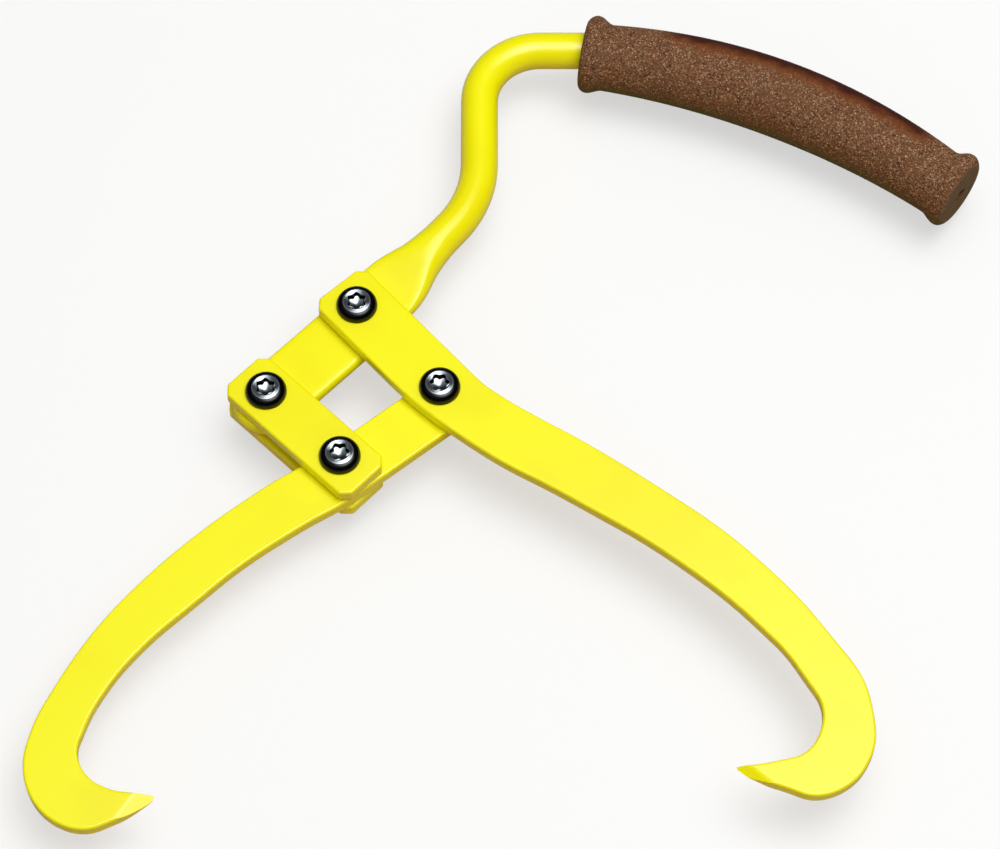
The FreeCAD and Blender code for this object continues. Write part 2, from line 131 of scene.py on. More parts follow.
def makeFloor():
    # Painted board: pale to the camera and in reflections, warmer in what it bounces
    material, tree = newMaterial("paintedBoard")
    rays = addNode(tree, "ShaderNodeLightPath")
    seen = addNode(tree, "ShaderNodeMath", {
        0: rays.outputs["Is Camera Ray"],
        1: rays.outputs["Is Transmission Ray"],
    }, operation="MAXIMUM")
    bounced = addNode(tree, "ShaderNodeBsdfDiffuse", {"Color": linear(studio["floorBounce"])})
    mirrored = addNode(tree, "ShaderNodeBsdfDiffuse", {"Color": linear(studio["floorMirrored"])})
    shaded = addNode(tree, "ShaderNodeBsdfDiffuse", {"Color": linear(studio["floorColour"])})
    glow = addNode(tree, "ShaderNodeEmission", {"Color": linear(studio["floorColour"]), "Strength": 1})
    pale = addNode(tree, "ShaderNodeMixShader", {
        0: studio["floorGlow"],
        1: shaded.outputs[0],
        2: glow.outputs[0],
    })
    given = addNode(tree, "ShaderNodeMixShader", {
        0: rays.outputs["Is Glossy Ray"],
        1: bounced.outputs[0],
        2: mirrored.outputs[0],
    })
    mixed = addNode(tree, "ShaderNodeMixShader", {
        0: seen.outputs[0],
        1: given.outputs[0],
        2: pale.outputs[0],
    })
    addNode(tree, "ShaderNodeOutputMaterial", {"Surface": mixed.outputs[0]})
    half = studio["floorSize"] / 2 * mm
    mesh = bpy.data.meshes.new("floor")
    corners = [(-half, -half, 0), (half, -half, 0), (half, half, 0), (-half, half, 0)]
    mesh.from_pydata(corners, [], [(0, 1, 2, 3)])
    mesh.materials.append(material)
    floor = link(bpy.data.objects.new("floor", mesh))
    floor.location.z = -studio["floorGap"] * mm


def makeSoftbox():
    # The one lamp, high above and to the right
    light = bpy.data.lights.new("softbox", "AREA")
    light.shape = "DISK"
    light.size = studio["softbox"] * mm
    radius = light.size / 2
    light.energy = math.pi ** 2 * radius ** 2 * studio["softboxGlow"]  # its middle glows at that level
    light.use_nodes = True
    tree = light.node_tree
    tree.nodes.clear()
    place = addNode(tree, "ShaderNodeNewGeometry")
    reach = addNode(tree, "ShaderNodeVectorMath", {
        0: place.outputs["Position"],
        1: Vector(studio["softboxPlace"]) * mm,
    }, operation="DISTANCE")
    level = addNode(tree, "ShaderNodeMapRange", {
        "Value": reach.outputs["Value"],
        "From Max": radius,
        "To Min": 1,
        "To Max": 0,
    }, interpolation_type="SMOOTHSTEP")
    glow = addNode(tree, "ShaderNodeEmission", {"Strength": level.outputs[0]})
    addNode(tree, "ShaderNodeOutputLight", {"Surface": glow.outputs[0]})
    softbox = link(bpy.data.objects.new("softbox", light))
    softbox.location = Vector(studio["softboxPlace"]) * mm


def makeSky():
    # An even pale sky gives the light; reflections see its sides flagged dark
    world = bpy.data.worlds.new("studio")
    bpy.context.scene.world = world
    world.use_nodes = True
    tree = world.node_tree
    tree.nodes.clear()
    direction = addNode(tree, "ShaderNodeTexCoord")
    upward = addNode(tree, "ShaderNodeSeparateXYZ", {0: direction.outputs["Generated"]})
    level = addNode(tree, "ShaderNodeMapRange", {
        "Value": upward.outputs["Z"],
        "To Min": studio["horizon"],
        "To Max": studio["zenith"],
    }, interpolation_type="SMOOTHSTEP")
    flags = addNode(tree, "ShaderNodeMapRange", {
        "Value": upward.outputs["Z"],
        "From Min": studio["flagsFull"],
        "From Max": studio["flagsFrom"],
        "To Min": studio["flagged"],
        "To Max": studio["zenith"],
    }, interpolation_type="SMOOTHSTEP")
    rays = addNode(tree, "ShaderNodeLightPath")
    given = addNode(tree, "ShaderNodeMix", {
        0: rays.outputs["Is Glossy Ray"],
        2: level.outputs[0],
        3: flags.outputs[0],
    }, data_type="FLOAT")
    sky = addNode(tree, "ShaderNodeBackground", {"Color": (1, 1, 1, 1), "Strength": given.outputs[0]})
    addNode(tree, "ShaderNodeOutputWorld", {"Surface": sky.outputs[0]})


bpy.context.scene.view_settings.view_transform = "Standard"
makeCamera()
makeFloor()
makeSoftbox()
makeSky()
print("studio made")


# Materials

def objectPoint(tree, centre=(0, 0, 0)):
    # Object coordinates in mm from a centre
    place = addNode(tree, "ShaderNodeTexCoord")
    mapping = addNode(tree, "ShaderNodeMapping", {
        "Vector": place.outputs["Object"],
        "Location": [-value / mm for value in centre],
        "Scale": [1 / mm] * 3,
    })
    return mapping.outputs[0]


powderCoat = {
    "colour": "#FBF503",
    "thinColour": "#F6EC00",
    "patchSize": 40,  # mm, slow drift of the film's thickness
    "thinFrom": 0.35,  # level of the drift where the film begins to look thin, and where it is thinnest
    "thinFull": 0.7,
    "peelSize": 1.6,  # mm, the soft ripple of melted powder
    "peelHeight": 0.006,  # mm
    "roughness": 0.2,
    "ior": 1.5,
}


def makePowderCoat():
    # Polyester powder coat, baked on steel plate: a smooth glossy skin with a faint orange peel
    material, tree = newMaterial("polyesterPowderCoat")
    point = objectPoint(tree)
    drift = addNode(tree, "ShaderNodeTexNoise", {
        "Vector": point,
        "Scale": 1 / powderCoat["patchSize"],
        "Detail": 2,
    })
    thin = addNode(tree, "ShaderNodeMapRange", {
        "Value": drift.outputs["Fac"],
        "From Min": powderCoat["thinFrom"],
        "From Max": powderCoat["thinFull"],
    }, interpolation_type="SMOOTHSTEP")
    colour = addNode(tree, "ShaderNodeMix", {
        0: thin.outputs[0],
        6: linear(powderCoat["colour"]),
        7: linear(powderCoat["thinColour"]),
    }, data_type="RGBA")
    peel = addNode(tree, "ShaderNodeTexNoise", {
        "Vector": point,
        "Scale": 1 / powderCoat["peelSize"],
        "Detail": 1,
    })
    bump = addNode(tree, "ShaderNodeBump", {
        "Height": peel.outputs["Fac"],
        "Distance": powderCoat["peelHeight"] * mm,
        "Strength": 1,
    })
    shader = addNode(tree, "ShaderNodeBsdfPrincipled", {
        "Base Color": colour.outputs[2],
        "Roughness": powderCoat["roughness"],
        "IOR": powderCoat["ior"],
        "Normal": bump.outputs[0],
    })
    addNode(tree, "ShaderNodeOutputMaterial", {"Surface": shader.outputs[0]})
    return material


corkRubber = {
    "curveRadius": 226,  # mm, of the grip's axis
    "thickness": 27.2,  # mm
    "matrix": "#6A4830",
    "cells": [(0, "#402716"), (0.22, "#5C3A24"), (0.42, "#704B31"), (0.6, "#7E4C2E"), (0.76, "#6C5534"),
              (0.88, "#8C664A"), (0.96, "#A98263")],
    "cellSize": 0.45,  # mm, the granules' grain, drawn a little coarse so that it shows
    "patchSize": 9,  # mm, patches with more binder than granules
    "patchFrom": 0.48,
    "patchFull": 0.85,
    "patchRoughness": 0.6,
    # each painted shade's colour, where across the grip it begins and is full (-1 to 1, ragged), its greatest
    # share
    "backShadeTints": [("#753C12", 0.2, 0.6, 0.85), ("#3E0E02", 0.4, 0.85, 1)],
    "raggedSize": 5,  # mm, of the patches that make those places ragged
    "ragged": 0.5,
    "backRun": (-50, 48),  # mm along the grip from its middle
    "backFade": 12,  # mm
    "under": "#5A5138",  # the underside, greyer: painted shading
    "underTurn": 0.3,  # it sets in while the normal's z falls from this to minus this
    "endFace": "#6A5C4B",
    "endTurn": -18.4,  # degrees from the grip's middle to its far end
    "endFrom": 0.75,  # cosine of a face's turn away from the end, where the tint begins, and where it is full
    "endFull": 0.95,
    "endMost": 0.75,
    "roughness": 0.85,
    "specular": 0.3,
    "ior": 1.45,
    "relief": 0.1,  # mm
    "reliefStrength": 0.6,
}


def gripCurveCentre():
    # The hand_grip mount lies on the grip's curved axis and points along it
    mount = mounts["hand_grip"]
    along = Vector(mount["axis"])
    outward = Vector((-along.y, along.x, 0))
    return Vector(mount["pos_m"]) - outward * corkRubber["curveRadius"] * mm


def acrossGrip(tree):
    # How far a point lies to the outside of the grip's curve, -1 to 1
    point = objectPoint(tree, gripCurveCentre())
    parts = addNode(tree, "ShaderNodeSeparateXYZ", {0: point})
    flat = addNode(tree, "ShaderNodeCombineXYZ", {"X": parts.outputs["X"], "Y": parts.outputs["Y"]})
    reach = addNode(tree, "ShaderNodeVectorMath", {0: flat.outputs[0]}, operation="LENGTH")
    half = corkRubber["thickness"] / 2
    side = addNode(tree, "ShaderNodeMapRange", {
        "Value": reach.outputs["Value"],
        "From Min": corkRubber["curveRadius"] - half,
        "From Max": corkRubber["curveRadius"] + half,
        "To Min": -1,
    })
    return side.outputs[0]


def withinBackRun(tree):
    # 1 along the middle of the grip, fading to 0 towards both flanges
    mount = mounts["hand_grip"]
    point = objectPoint(tree, Vector(mount["pos_m"]))
    along = addNode(tree, "ShaderNodeVectorMath", {
        0: point,
        1: Vector(mount["axis"]),
    }, operation="DOT_PRODUCT")
    start, finish = corkRubber["backRun"]
    rising = addNode(tree, "ShaderNodeMapRange", {
        "Value": along.outputs["Value"],
        "From Min": start,
        "From Max": start + corkRubber["backFade"],
    }, interpolation_type="SMOOTHSTEP")
    falling = addNode(tree, "ShaderNodeMapRange", {
        "Value": along.outputs["Value"],
        "From Min": finish,
        "From Max": finish + corkRubber["backFade"],
        "To Min": 1,
        "To Max": 0,
    }, interpolation_type="SMOOTHSTEP")
    both = addNode(tree, "ShaderNodeMath", {
        0: rising.outputs[0],
        1: falling.outputs[0],
    }, operation="MULTIPLY")
    return both.outputs[0]


def paintedBackShade(tree, colour):
    # Painted shade on the outside of the curve: red-brown, then dark red towards its edge
    patches = addNode(tree, "ShaderNodeTexNoise", {
        "Vector": objectPoint(tree),
        "Scale": 1 / corkRubber["raggedSize"],
        "Detail": 3,
    })
    across = addNode(tree, "ShaderNodeMath", {
        0: patches.outputs["Fac"],
        1: corkRubber["ragged"],
        2: acrossGrip(tree),
    }, operation="MULTIPLY_ADD")
    within = withinBackRun(tree)
    # Painted shade, laid on in steps that deepen towards the curve's outer edge
    for tint, start, full, most in corkRubber["backShadeTints"]:
        level = addNode(tree, "ShaderNodeMapRange", {
            "Value": across.outputs[0],
            "From Min": start,
            "From Max": full,
            "To Max": most,
        }, interpolation_type="SMOOTHSTEP")
        share = addNode(tree, "ShaderNodeMath", {0: level.outputs[0], 1: within}, operation="MULTIPLY")
        mixed = addNode(tree, "ShaderNodeMix", {
            0: share.outputs[0],
            6: colour,
            7: linear(tint),
        }, data_type="RGBA")
        colour = mixed.outputs[2]
    return colour


def shadeAndTintByPlace(tree, colour):
    # Painted shade on the grip's back, painted shading that greys its underside, and a greyer end face
    colour = paintedBackShade(tree, colour)
    facing = addNode(tree, "ShaderNodeTexCoord").outputs["Normal"]
    upward = addNode(tree, "ShaderNodeSeparateXYZ", {0: facing})
    # Painted shading: faces that turn down are greyed
    under = addNode(tree, "ShaderNodeMapRange", {
        "Value": upward.outputs["Z"],
        "From Min": -corkRubber["underTurn"],
        "From Max": corkRubber["underTurn"],
        "To Min": 1,
        "To Max": 0,
    }, interpolation_type="SMOOTHSTEP")
    greyed = addNode(tree, "ShaderNodeMix", {
        0: under.outputs[0],
        6: colour,
        7: linear(corkRubber["under"]),
    }, data_type="RGBA")
    end = Matrix.Rotation(math.radians(corkRubber["endTurn"]), 3, "Z") @ Vector(mounts["hand_grip"]["axis"])
    square = addNode(tree, "ShaderNodeVectorMath", {0: facing, 1: end}, operation="DOT_PRODUCT")
    onEnd = addNode(tree, "ShaderNodeMapRange", {
        "Value": square.outputs["Value"],
        "From Min": corkRubber["endFrom"],
        "From Max": corkRubber["endFull"],
        "To Max": corkRubber["endMost"],
    }, interpolation_type="SMOOTHSTEP")
    ended = addNode(tree, "ShaderNodeMix", {
        0: onEnd.outputs[0],
        6: greyed.outputs[2],
        7: linear(corkRubber["endFace"]),
    }, data_type="RGBA")
    return ended.outputs[2]


def makeCorkRubber():
    # Cork and rubber granulate, bound and moulded: matt, speckled grain by grain
    material, tree = newMaterial("corkRubberGranulate")
    point = objectPoint(tree)
    cells = addNode(tree, "ShaderNodeTexVoronoi", {"Vector": point, "Scale": 1 / corkRubber["cellSize"]})
    pick = addNode(tree, "ShaderNodeSeparateColor", {0: cells.outputs["Color"]})
    grain = addNode(tree, "ShaderNodeValToRGB", {"Fac": pick.outputs[0]}, stops=corkRubber["cells"])
    patches = addNode(tree, "ShaderNodeTexNoise", {
        "Vector": point,
        "Scale": 1 / corkRubber["patchSize"],
        "Detail": 4,
        "Roughness": corkRubber["patchRoughness"],
    })
    bound = addNode(tree, "ShaderNodeMapRange", {
        "Value": patches.outputs["Fac"],
        "From Min": corkRubber["patchFrom"],
        "From Max": corkRubber["patchFull"],
    }, interpolation_type="SMOOTHSTEP")
    speckled = addNode(tree, "ShaderNodeMix", {
        0: bound.outputs[0],
        6: grain.outputs["Color"],
        7: linear(corkRubber["matrix"]),
    }, data_type="RGBA")
    colour = shadeAndTintByPlace(tree, speckled.outputs[2])
    bump = addNode(tree, "ShaderNodeBump", {
        "Height": cells.outputs["Distance"],
        "Distance": corkRubber["relief"] * mm,
        "Strength": corkRubber["reliefStrength"],
    }, invert=True)
    shader = addNode(tree, "ShaderNodeBsdfPrincipled", {
        "Base Color": colour,
        "Roughness": corkRubber["roughness"],
        "IOR": corkRubber["ior"],
        "Specular IOR Level": corkRubber["specular"],
        "Normal": bump.outputs[0],
    })
    addNode(tree, "ShaderNodeOutputMaterial", {"Surface": shader.outputs[0]})
    return material


screwSteel = {
    "black": "#030306",
    "rubbed": "#98A1A6",  # where the blackening is polished through, round the socket
    "scratchSize": 0.5,  # mm
    "smoothest": 0.08,
    "roughest": 0.2,
    "ior": 1.4,
}


def makeScrewSteel():
    # Blackened alloy steel: a glossy near-black dome, rubbed to a mirror on its top and in the socket
    material, tree = newMaterial("blackenedAlloySteel")
    rubbed = addNode(tree, "ShaderNodeAttribute", attribute_name="rubbed")
    colour = addNode(tree, "ShaderNodeMix", {
        0: rubbed.outputs["Fac"],
        6: linear(screwSteel["black"]),
        7: linear(screwSteel["rubbed"]),
    }, data_type="RGBA")
    scratches = addNode(tree, "ShaderNodeTexNoise", {
        "Vector": objectPoint(tree),
        "Scale": 1 / screwSteel["scratchSize"],
        "Detail": 3,
    })
    rough = addNode(tree, "ShaderNodeMapRange", {
        "Value": scratches.outputs["Fac"],
        "To Min": screwSteel["smoothest"],
        "To Max": screwSteel["roughest"],
    })
    shader = addNode(tree, "ShaderNodeBsdfPrincipled", {
        "Base Color": colour.outputs[2],
        "Metallic": rubbed.outputs["Fac"],
        "Roughness": rough.outputs[0],
        "IOR": screwSteel["ior"],
    })
    addNode(tree, "ShaderNodeOutputMaterial", {"Surface": shader.outputs[0]})
    return material


zincPlate = {
    "colour": "#B9BCBE",
    "cloudColour": "#9FA3A8",
    "cloudSize": 3,  # mm
    "cloudFrom": 0.35,
    "cloudFull": 0.65,
    "smoothest": 0.22,
    "roughest": 0.38,
}


def makeZincPlate():
    # Bright zinc plating on pressed steel: pale grey, faintly clouded
    material, tree = newMaterial("brightZincPlate")
    clouds = addNode(tree, "ShaderNodeTexNoise", {
        "Vector": objectPoint(tree),
        "Scale": 1 / zincPlate["cloudSize"],
        "Detail": 3,
    })
    clouded = addNode(tree, "ShaderNodeMapRange", {
        "Value": clouds.outputs["Fac"],
        "From Min": zincPlate["cloudFrom"],
        "From Max": zincPlate["cloudFull"],
    }, interpolation_type="SMOOTHSTEP")
    colour = addNode(tree, "ShaderNodeMix", {
        0: clouded.outputs[0],
        6: linear(zincPlate["colour"]),
        7: linear(zincPlate["cloudColour"]),
    }, data_type="RGBA")
    rough = addNode(tree, "ShaderNodeMapRange", {
        "Value": clouds.outputs["Fac"],
        "To Min": zincPlate["smoothest"],
        "To Max": zincPlate["roughest"],
    })
    shader = addNode(tree, "ShaderNodeBsdfPrincipled", {
        "Base Color": colour.outputs[2],
        "Metallic": 1,
        "Roughness": rough.outputs[0],
    })
    addNode(tree, "ShaderNodeOutputMaterial", {"Surface": shader.outputs[0]})
    return material


nylon = {
    "colour": "#C9CED6",
    "warmColour": "#B9BEC2",
    "mottleSize": 2,  # mm
    "roughness": 0.4,
    "ior": 1.53,
    "glowDepth": 0.6,  # mm that light travels under the surface
    "glowShare": 0.2,
}


def makeNylon():
    # Undyed moulded nylon: milky, a little see-through at its edge
    material, tree = newMaterial("mouldedNylon")
    mottle = addNode(tree, "ShaderNodeTexNoise", {
        "Vector": objectPoint(tree),
        "Scale": 1 / nylon["mottleSize"],
    })
    colour = addNode(tree, "ShaderNodeMix", {
        0: mottle.outputs["Fac"],
        6: linear(nylon["colour"]),
        7: linear(nylon["warmColour"]),
    }, data_type="RGBA")
    shader = addNode(tree, "ShaderNodeBsdfPrincipled", {
        "Base Color": colour.outputs[2],
        "Roughness": nylon["roughness"],
        "IOR": nylon["ior"],
        "Subsurface Weight": nylon["glowShare"],
        "Subsurface Radius": [nylon["glowDepth"] * mm] * 3,
        "Subsurface Scale": 1,
    })
    addNode(tree, "ShaderNodeOutputMaterial", {"Surface": shader.outputs[0]})
    return material


def dress(names, material):
    # One material on pieces that stay as the CAD gives them
    for name in names:
        mesh = frame["nodes"][name].data
        mesh.materials.clear()
        mesh.materials.append(material)


dress(["handle_bar", "right_jaw", "left_jaw", "front_link", "rear_link"], makePowderCoat())
dress(["grip"], makeCorkRubber())
zinc = makeZincPlate()
ringNylon = makeNylon()
for pivot in pivots:
    dress([pivot + "_pivot_washer", pivot + "_pivot_nut"], zinc)
    dress([pivot + "_pivot_nut_ring"], ringNylon)
print("materials made")


# Pivot screws

buttonScrew = {
    "headRadius": 7,  # mm, as are all lengths here
    "headHeight": 3.4,
    "rimHeight": 0.6,
    "rimEdge": 0.12,
    "domeBulge": 0.7,
    "domeSteps": 12,
    "ridgeRadius": 4.3,
    "ridgeEdge": 0.12,
    "ridgeDrop": 0.03,
    "markStart": 3.5,  # where the round tool marks of the top begin; drawn coarse so that they show
    "toolMarks": 2,  # grooves from there to the ridge
    "markSlope": 17,  # degrees
    "lobes": 6,
    "lobeOuter": 3.2,
    "lobeInner": 2.3,
    "mouthEdge": 0.2,
    "socketDepth": 1.9,
    "socketDraft": 0.95,  # share of its outline that the socket keeps at its foot
    "footShade": 0.03,  # share of the socket's width where its floor turns black towards the wall: painted shade in the socket's corner
    "floorSlope": 15,  # degrees
    "rubbedOut": 4.75,  # how far out the blackening is polished through
    "shankRadius": 3.96,
    "threadDepth": 0.6,
    "pitch": 1.25,
    "threadLength": 6.2,
    "turnSteps": 8,  # rings to one turn of the thread
    "tailChamfer": 0.9,
    "segments": 72,
    "sharpAngle": 24,  # degrees between faces from which an edge is drawn sharp
    "seed": 5,
}


def lobeReach(angle):
    # Outline of the six-lobe socket
    middle = (buttonScrew["lobeOuter"] + buttonScrew["lobeInner"]) / 2
    swing = (buttonScrew["lobeOuter"] - buttonScrew["lobeInner"]) / 2
    return middle + swing * math.cos(buttonScrew["lobes"] * angle)


def markDepth(width):
    # How far a groove's flank falls over its width
    return width * math.tan(math.radians(buttonScrew["markSlope"]))


def floorHeight(reach):
    # The socket's floor is a shallow cone
    slope = math.tan(math.radians(buttonScrew["floorSlope"]))
    return buttonScrew["headHeight"] - buttonScrew["socketDepth"] - (buttonScrew["lobeOuter"] - reach) * slope


def socketRings():
    # The socket's conical floor, then its wall up to the edge of the mouth
    draft = buttonScrew["socketDraft"]
    shiny = draft - buttonScrew["footShade"]
    middle = buttonScrew["lobeInner"] * draft / 2
    mouth = buttonScrew["mouthEdge"]
    top = buttonScrew["headHeight"]
    floor = [
        lambda angle: (middle, floorHeight(middle)),
        lambda angle: (lobeReach(angle) * shiny, floorHeight(lobeReach(angle) * shiny)),
    ]
    wall = [
        lambda angle: (lobeReach(angle) * draft, floorHeight(lobeReach(angle) * draft)),
        lambda angle: (lobeReach(angle), top - mouth),
        lambda angle: (lobeReach(angle) + mouth, top),
    ]
    return floor, wall


def topRings():
    # The turned top: groove and crest by turns, from the socket's mouth out to the ridge
    top = buttonScrew["headHeight"]
    start = buttonScrew["markStart"]
    half = (buttonScrew["ridgeRadius"] - start) / buttonScrew["toolMarks"] / 2

    def innerGroove(angle):
        width = (start - lobeReach(angle) - buttonScrew["mouthEdge"]) / 2
        return start - width, top - markDepth(width)

    rings = [innerGroove]
    for step in range(buttonScrew["toolMarks"] * 2 + 1):
        place = (start + half * step, top - markDepth(half) * (step % 2))
        rings.append(lambda angle, place=place: place)
    return rings


def domeRings():
    # From the ridge over the dome to the rim and in under the head
    edge = buttonScrew["ridgeEdge"]
    ridge = buttonScrew["ridgeRadius"]
    top = buttonScrew["headHeight"]
    start = Vector((ridge + edge, top - buttonScrew["ridgeDrop"]))
    finish = Vector((buttonScrew["headRadius"], buttonScrew["rimHeight"]))
    chord = finish - start
    outward = Vector((-chord.y, chord.x)).normalized()
    places = []
    for step in range(buttonScrew["domeSteps"] + 1):
        share = step / buttonScrew["domeSteps"]
        bulge = buttonScrew["domeBulge"] * 4 * share * (1 - share)
        places.append(start + chord * share + outward * bulge)
    rim = buttonScrew["rimEdge"]
    head = buttonScrew["headRadius"]
    places += [(head, rim), (head - rim, 0), (buttonScrew["shankRadius"], 0)]
    return [lambda angle, place=place: tuple(place) for place in places]


def threadRing(drop, length):
    # Right-hand thread, its crest one pitch higher each turn, cut down by the tail's chamfer
    def place(angle):
        phase = (drop / buttonScrew["pitch"] + angle / math.tau) % 1
        depth = buttonScrew["threadDepth"] * abs(2 * phase - 1)
        limit = buttonScrew["shankRadius"] - max(0, drop - length + buttonScrew["tailChamfer"])
        return min(buttonScrew["shankRadius"] - depth, limit), -drop
    return place


def screwMesh(length):
    # Rings of points from the socket's floor over the head to the tail, joined into a skin
    floor, wall = socketRings()
    rings = floor + wall + topRings() + domeRings()
    threadStart = length - buttonScrew["threadLength"]
    count = round(buttonScrew["threadLength"] / buttonScrew["pitch"] * buttonScrew["turnSteps"])
    rings += [lambda angle: (buttonScrew["shankRadius"], -threadStart)]
    rings += [threadRing(threadStart + buttonScrew["threadLength"] * (step + 1) / count, length)
              for step in range(count)]
    bm = bmesh.new()
    rubbed = bm.verts.layers.float.new("rubbed")
    bottom = bm.verts.new((0, 0, floorHeight(0) * mm))
    bottom[rubbed] = 1
    turns = [math.tau * step / buttonScrew["segments"] for step in range(buttonScrew["segments"])]
    circles = []
    for ring in rings:
        circle = []
        for angle in turns:
            reach, height = ring(angle)
            vertex = bm.verts.new((reach * math.cos(angle) * mm, reach * math.sin(angle) * mm, height * mm))
            onTop = height > buttonScrew["rimHeight"] and reach < buttonScrew["rubbedOut"]
            vertex[rubbed] = 1 if onTop and ring not in wall else 0  # the socket's wall stays black: painted shade in the recess
            circle.append(vertex)
        circles.append(circle)
    tail = bm.verts.new((0, 0, -length * mm))
    for step in range(buttonScrew["segments"]):
        after = (step + 1) % buttonScrew["segments"]
        bm.faces.new((bottom, circles[0][step], circles[0][after]))
        for inner, outer in zip(circles, circles[1:]):
            bm.faces.new((inner[step], outer[step], outer[after], inner[after]))
        bm.faces.new((circles[-1][step], tail, circles[-1][after]))
    bmesh.ops.recalc_face_normals(bm, faces=bm.faces)
    for face in bm.faces:
        face.smooth = True
    for edge in bm.edges:
        edge.smooth = edge.calc_face_angle(0) < math.radians(buttonScrew["sharpAngle"])
    mesh = bpy.data.meshes.new("buttonScrew")
    bm.to_mesh(mesh)
    bm.free()
    return mesh


def setInputs(modifier, values):
    # Inputs of a Geometry Nodes modifier, found by name and set by identifier
    for item in modifier.node_group.interface.items_tree:
        if item.item_type == "SOCKET" and item.in_out == "INPUT" and item.name in values:
            modifier[item.identifier] = values[item.name]


def newTree(name, inputs):
    # A Geometry Nodes tree with its named inputs
    tree = bpy.data.node_groups.new(name, "GeometryNodeTree")
    tree.interface.new_socket("Geometry", in_out="INPUT", socket_type="NodeSocketGeometry")
    for inputName, kind in inputs.items():
        tree.interface.new_socket(inputName, in_out="INPUT", socket_type="NodeSocket" + kind)
    tree.interface.new_socket("Geometry", in_out="OUTPUT", socket_type="NodeSocketGeometry")
    return tree, addNode(tree, "NodeGroupInput").outputs


def closeTree(tree, instances, material):
    # Instances are made real, since the export drops them, and dressed
    real = addNode(tree, "GeometryNodeRealizeInstances", {"Geometry": instances})
    dressed = addNode(tree, "GeometryNodeSetMaterial", {"Geometry": real.outputs[0], "Material": material})
    addNode(tree, "NodeGroupOutput", {"Geometry": dressed.outputs[0]})


def bakeTree(name, mesh, tree, values):
    # The tree's result as a plain mesh piece
    carrier = link(bpy.data.objects.new(name + "Carrier", mesh))
    modifier = carrier.modifiers.new("nodes", "NODES")
    modifier.node_group = tree
    setInputs(modifier, values)
    seen = carrier.evaluated_get(bpy.context.evaluated_depsgraph_get())
    piece = link(bpy.data.objects.new(name, bpy.data.meshes.new_from_object(seen)))
    carrier.modifiers.remove(modifier)
    bpy.data.objects.remove(carrier)
    return piece


def screwTree():
    # One screw on each point, its socket turned at random as a fitter leaves it
    tree, given = newTree("screwsOnPivots", {
        "Screw": "Object",
        "Lobes": "Int",
        "Seed": "Int",
        "Material": "Material",
    })
    screw = addNode(tree, "GeometryNodeObjectInfo", {"Object": given["Screw"]})
    step = addNode(tree, "ShaderNodeMath", {0: math.tau, 1: given["Lobes"]}, operation="DIVIDE")
    turn = addNode(tree, "FunctionNodeRandomValue", {
        3: step.outputs[0],
        "Seed": given["Seed"],
    }, data_type="FLOAT")
    way = addNode(tree, "ShaderNodeCombineXYZ", {"Z": turn.outputs[1]})
    placed = addNode(tree, "GeometryNodeInstanceOnPoints", {
        "Points": given["Geometry"],
        "Instance": screw.outputs["Geometry"],
        "Rotation": way.outputs[0],
    })
    closeTree(tree, placed.outputs[0], given["Material"])
    return tree


def makeScrews(body, tree, material):
    # The screws of one body, as one mesh
    names = [pivot + "_pivot_screw" for pivot in pivots if pivots[pivot] == body]
    boxes = [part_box(name) for name in names]
    seat = boxes[0][1].z / mm - buttonScrew["headHeight"]
    prototype = link(bpy.data.objects.new("screwPattern", screwMesh(seat - boxes[0][0].z / mm)))
    points = bpy.data.meshes.new("pivotPoints")
    places = [((low.x + high.x) / 2, (low.y + high.y) / 2, seat * mm) for low, high in boxes]
    points.from_pydata(places, [], [])
    screws = bakeTree("screws_" + body, points, tree, {
        "Screw": prototype,
        "Lobes": buttonScrew["lobes"],
        "Seed": buttonScrew["seed"],
        "Material": material,
    })
    bpy.data.objects.remove(prototype)
    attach(screws, body)
    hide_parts(*names)


screwsTree = screwTree()
blackened = makeScrewSteel()
for body in sorted(set(pivots.values())):
    makeScrews(body, screwsTree, blackened)
print("screws made")


# Grains that stand out of the grip

granules = {
    "seed": 4,
    "spacing": 0.9,  # mm between neighbours
    "density": 1.2,  # most to a square mm
    "size": 0.17,  # mm, radius
    "flatness": 0.55,
    "sunk": 0.2,  # share of the size that its middle lies under the skin
    "smallest": 0.6,  # of the size
    "largest": 1.5,
    "boreReach": 8,  # mm round the grip's axis that holds the bar and gets no grains
    "merge": 0.001,  # mm, points of the skin nearer than this become one
    "roughness": 0.7,
    "ior": 1.45,
    "colours": [(0, "#A27A5C"), (0.2, "#8A5B3E"), (0.35, "#C29A7C"), (0.55, "#95532F"), (0.68, "#D9B898"),
                (0.8, "#B4836C"), (0.92, "#6B5B36")],
}


def makeCorkGrain():
    # Single cork and rubber grains, pale and matt, that stand out of the moulded skin
    material, tree = newMaterial("corkGrain")
    tone = addNode(tree, "ShaderNodeAttribute", attribute_name="tone")
    ramp = addNode(tree, "ShaderNodeValToRGB", {"Fac": tone.outputs["Fac"]}, stops=granules["colours"])
    ramp.color_ramp.interpolation = "CONSTANT"
    shader = addNode(tree, "ShaderNodeBsdfPrincipled", {
        "Base Color": shadeAndTintByPlace(tree, ramp.outputs["Color"]),
        "Roughness": granules["roughness"],
        "IOR": granules["ior"],
    })
    addNode(tree, "ShaderNodeOutputMaterial", {"Surface": shader.outputs[0]})
    return material


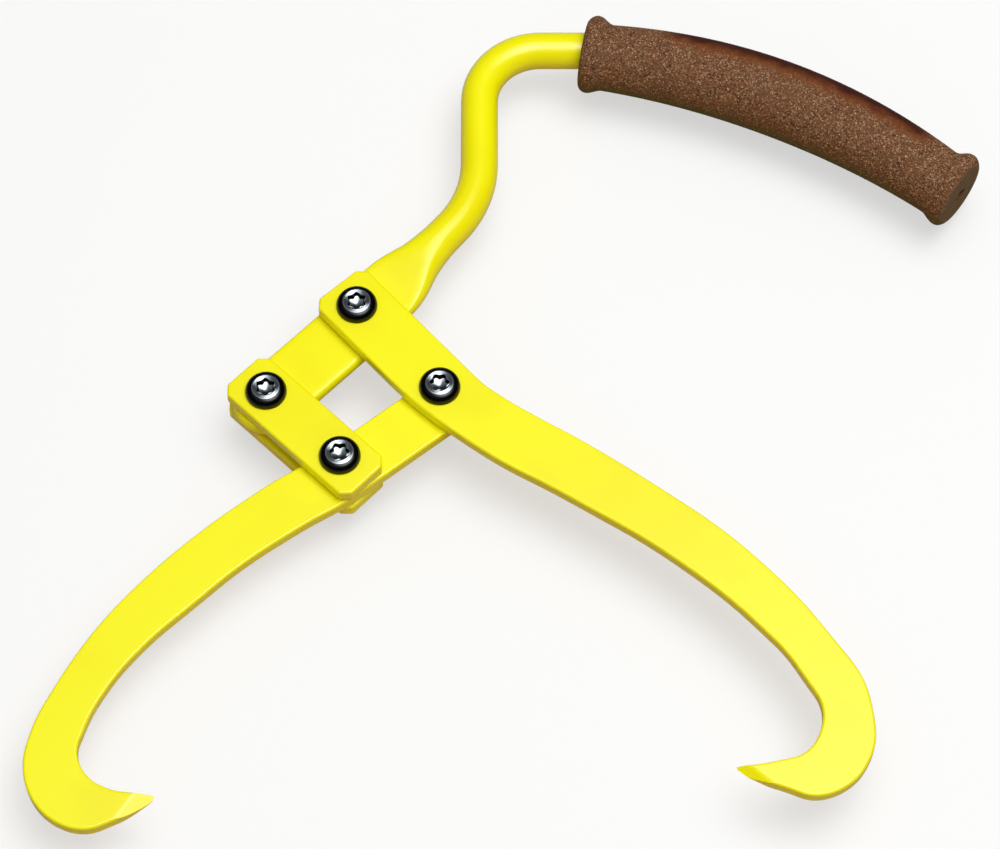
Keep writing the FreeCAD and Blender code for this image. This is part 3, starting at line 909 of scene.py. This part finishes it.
def grainTree():
    # Flat grains spread over a skin, each of its own size and tone
    tree, given = newTree("grainsOnSkin", {
        "Density": "Float",
        "Spacing": "Float",
        "Size": "Float",
        "Smallest": "Float",
        "Largest": "Float",
        "Flatness": "Float",
        "Sunk": "Float",
        "Seed": "Int",
        "Material": "Material",
    })
    spread = addNode(tree, "GeometryNodeDistributePointsOnFaces", {
        "Mesh": given["Geometry"],
        "Distance Min": given["Spacing"],
        "Density Max": given["Density"],
        "Seed": given["Seed"],
    }, distribute_method="POISSON")
    depth = addNode(tree, "ShaderNodeMath", {0: given["Size"], 1: given["Sunk"]}, operation="MULTIPLY")
    inward = addNode(tree, "ShaderNodeMath", {0: depth.outputs[0], 1: -1}, operation="MULTIPLY")
    shift = addNode(tree, "ShaderNodeVectorMath", {
        0: spread.outputs["Normal"],
        "Scale": inward.outputs[0],
    }, operation="SCALE")
    points = addNode(tree, "GeometryNodeSetPosition", {
        "Geometry": spread.outputs["Points"],
        "Offset": shift.outputs[0],
    })
    grain = addNode(tree, "GeometryNodeMeshIcoSphere", {"Radius": given["Size"], "Subdivisions": 1})
    flat = addNode(tree, "ShaderNodeCombineXYZ", {"X": 1, "Y": 1, "Z": given["Flatness"]})
    swell = addNode(tree, "FunctionNodeRandomValue", {
        2: given["Smallest"],
        3: given["Largest"],
        "Seed": given["Seed"],
    }, data_type="FLOAT")
    scale = addNode(tree, "ShaderNodeVectorMath", {
        0: flat.outputs[0],
        "Scale": swell.outputs[1],
    }, operation="SCALE")
    placed = addNode(tree, "GeometryNodeInstanceOnPoints", {
        "Points": points.outputs[0],
        "Instance": grain.outputs["Mesh"],
        "Rotation": spread.outputs["Rotation"],
        "Scale": scale.outputs[0],
    })
    tone = addNode(tree, "FunctionNodeRandomValue", {2: 0, 3: 1, "Seed": given["Seed"]}, data_type="FLOAT")
    toned = addNode(tree, "GeometryNodeStoreNamedAttribute", {
        "Geometry": placed.outputs[0],
        "Name": "tone",
        "Value": tone.outputs[1],
    }, data_type="FLOAT", domain="INSTANCE")
    closeTree(tree, toned.outputs[0], given["Material"])
    return tree


def gripSkin():
    # The grip's outside without its bore
    centre = gripCurveCentre()
    reach = corkRubber["curveRadius"] * mm
    bm = bmesh.new()
    bm.from_mesh(frame["nodes"]["grip"].data)
    bmesh.ops.remove_doubles(bm, verts=bm.verts, dist=granules["merge"] * mm)
    hidden = []
    for face in bm.faces:
        middle = face.calc_center_median() - centre
        offAxis = math.hypot(math.hypot(middle.x, middle.y) - reach, middle.z)
        if offAxis < granules["boreReach"] * mm:
            hidden.append(face)
    bmesh.ops.delete(bm, geom=hidden, context="FACES")
    mesh = bpy.data.meshes.new("gripSkin")
    bm.to_mesh(mesh)
    bm.free()
    return mesh


grains = bakeTree("grip_grains", gripSkin(), grainTree(), {
    "Density": granules["density"] / mm ** 2,
    "Spacing": granules["spacing"] * mm,
    "Size": granules["size"] * mm,
    "Smallest": granules["smallest"],
    "Largest": granules["largest"],
    "Flatness": granules["flatness"],
    "Sunk": granules["sunk"],
    "Seed": granules["seed"],
    "Material": makeCorkGrain(),
})
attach(grains, "handle")
print("grains made:", len(grains.data.polygons), "faces")
